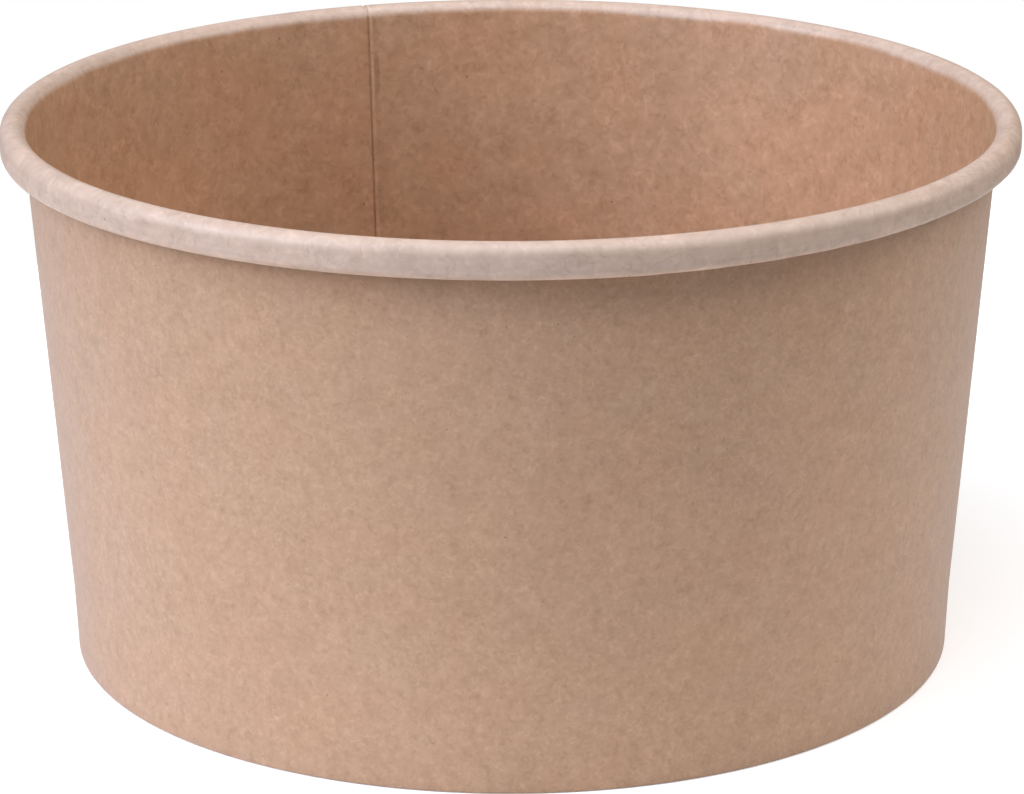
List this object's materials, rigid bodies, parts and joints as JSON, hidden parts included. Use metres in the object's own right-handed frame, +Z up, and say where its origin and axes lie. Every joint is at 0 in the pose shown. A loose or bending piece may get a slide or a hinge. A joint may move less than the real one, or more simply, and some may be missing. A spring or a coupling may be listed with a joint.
{
  "type": "compostable salad bowl",
  "caption": "Round tapered salad bowl of kraft paperboard with a rolled rim, a lapped side seam and a recessed floor, for cold food with or without a lid.",
  "frame": {"origin": "centre of the circle that the bowl stands on, on the table", "axes": "+Z up, along the bowl's axis; +Y from the axis to the cut edge of the side seam that shows inside the bowl; +X to the right of the seam, seen from inside"},
  "size_m": [0.15, 0.15, 0.0815],
  "materials": {
    "wall_board": "uncoated brown kraft outside, thin clear bioplastic lining inside and over the rolled rim",
    "floor_board": "brown kraft with a thin clear bioplastic lining on its upper face"
  },
  "bodies": {
    "root": {"side_wall": "wall_board", "bottom_disc": "floor_board"}
  },
  "joints": []
}
